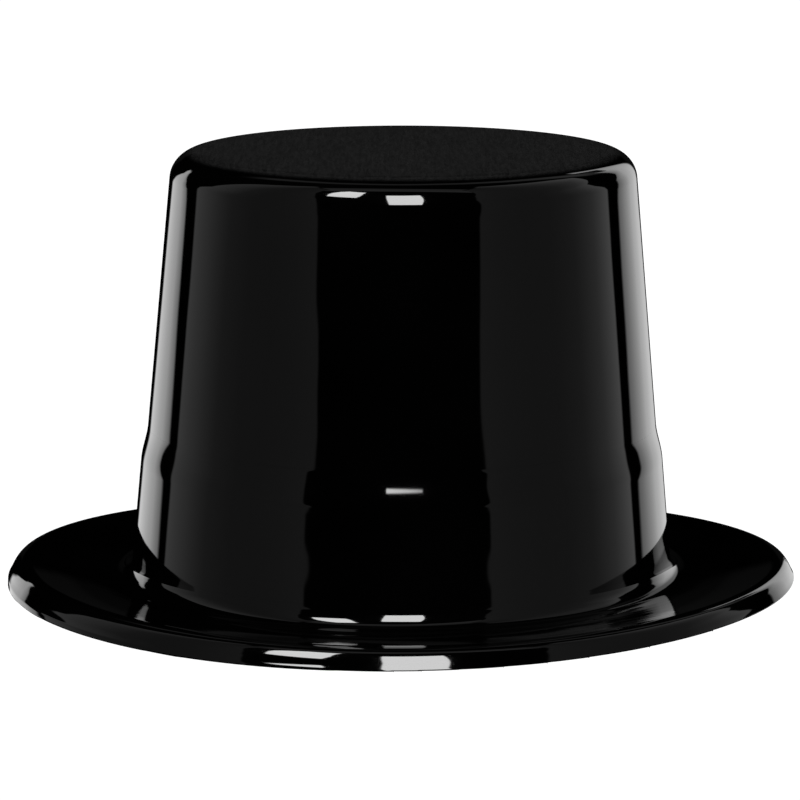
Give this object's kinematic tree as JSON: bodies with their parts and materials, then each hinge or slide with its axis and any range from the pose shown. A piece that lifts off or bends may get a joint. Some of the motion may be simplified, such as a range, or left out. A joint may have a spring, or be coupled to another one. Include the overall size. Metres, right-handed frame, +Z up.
{
  "type": "top hat",
  "caption": "Glossy black formed-plastic costume top hat with a tapered crown, a raised band, a brim with a turned-down lip and a soft inner sweatband.",
  "frame": {"origin": "centre of the head oval, on the surface that the brim's trimmed edge stands on", "axes": "+Z up through the crown, +Y towards the back of the head, +X to the right in the picture"},
  "size_m": [0.269, 0.2906, 0.148],
  "materials": {
    "shell_plastic": "gloss",
    "sweatband_foam": "matte"
  },
  "bodies": {
    "root": {"crown_shell": "shell_plastic", "hat_band": "shell_plastic", "brim_shell": "shell_plastic", "sweatband": "sweatband_foam"}
  },
  "joints": []
}
